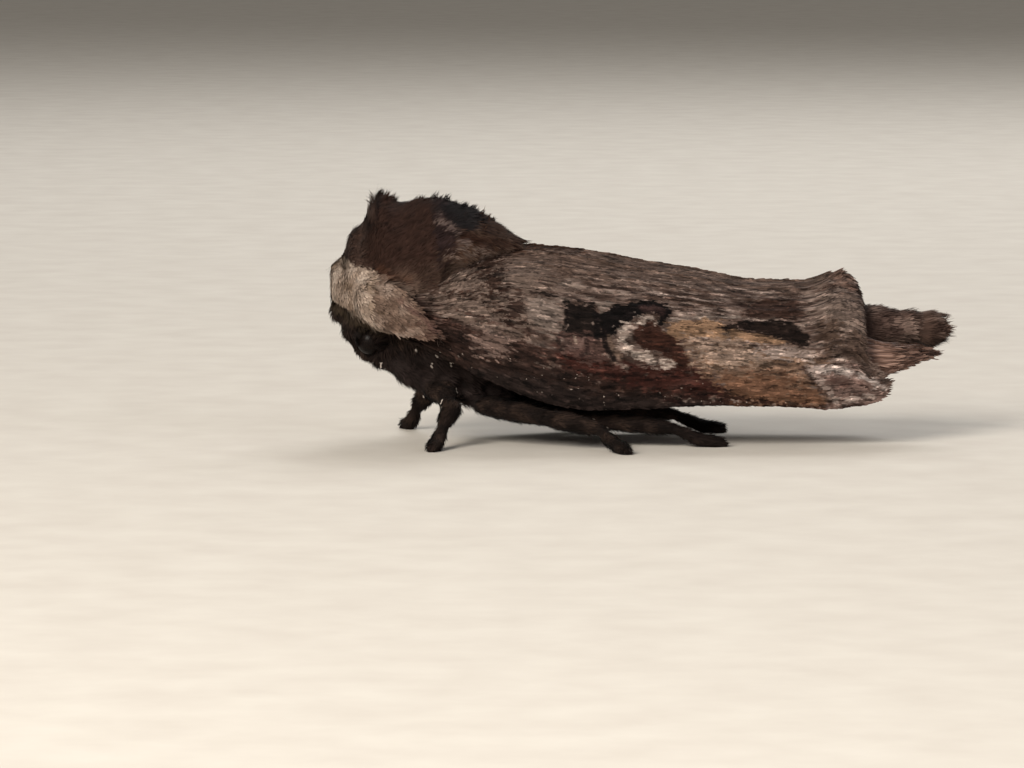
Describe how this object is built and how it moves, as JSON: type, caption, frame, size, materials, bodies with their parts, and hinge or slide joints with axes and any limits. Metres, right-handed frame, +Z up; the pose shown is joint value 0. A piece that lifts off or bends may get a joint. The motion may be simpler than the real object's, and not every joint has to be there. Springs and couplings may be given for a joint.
{
  "type": "owlet moth",
  "caption": "Still, life-size owlet moth at rest, wings folded like a roof round the body, with a tall hair crest on its back.",
  "frame": {"origin": "the middle of the bounding box's base, on the plane that the feet stand on", "axes": "+Z up, -X towards the head and +X towards the tail, -Y towards the moth's left side"},
  "size_m": [0.03, 0.0136, 0.012],
  "materials": {
    "dark_hair": "dense, upright, velvety chocolate-brown hair",
    "black_hair": "dense blue-black hair with pale scale tips",
    "pale_hair": "flat cream-grey hair scales with a few dark specks",
    "wing_scales": "matt overlapping scales in streaks of grey, brown, ochre and black, like split bark",
    "hindwing_scales": "smooth pale grey-brown scales with a pale fringe",
    "abdomen_hair": "flat grey-brown hair with dark mottles",
    "leg_hair": "short dark brown scales and hair with a few white specks",
    "eye_lens": "glossy dark brown compound eye with fine facets"
  },
  "bodies": {
    "root": {"forewing_left": "wing_scales", "hindwing_left": "hindwing_scales", "forewing_right": "wing_scales", "hindwing_right": "hindwing_scales", "neck": "dark_hair", "thorax": "dark_hair", "crest_front": "dark_hair", "crest_middle": "dark_hair", "crest_rear": "black_hair", "collar_left": "pale_hair", "collar_right": "pale_hair", "tegula_left": "pale_hair", "tegula_right": "pale_hair", "abdomen": "abdomen_hair", "abdomen_brush": "abdomen_hair", "head": "dark_hair", "brow_tuft": "dark_hair", "eye_left": "eye_lens", "palp_left": "dark_hair", "eye_right": "eye_lens", "palp_right": "dark_hair", "antenna_left": "leg_hair", "antenna_right": "leg_hair", "fore_left_coxa": "leg_hair", "fore_left_femur": "leg_hair", "fore_left_tibia": "leg_hair", "fore_left_tarsus": "leg_hair", "fore_right_coxa": "leg_hair", "fore_right_femur": "leg_hair", "fore_right_tibia": "leg_hair", "fore_right_tarsus": "leg_hair", "mid_left_coxa": "leg_hair", "mid_left_femur": "leg_hair", "mid_left_tibia": "leg_hair", "mid_left_tarsus": "leg_hair", "mid_right_coxa": "leg_hair", "mid_right_femur": "leg_hair", "mid_right_tibia": "leg_hair", "mid_right_tarsus": "leg_hair", "hind_left_coxa": "leg_hair", "hind_left_femur": "leg_hair", "hind_left_tibia": "leg_hair", "hind_left_tarsus": "leg_hair", "hind_right_coxa": "leg_hair", "hind_right_femur": "leg_hair", "hind_right_tibia": "leg_hair", "hind_right_tarsus": "leg_hair"}
  },
  "joints": []
}
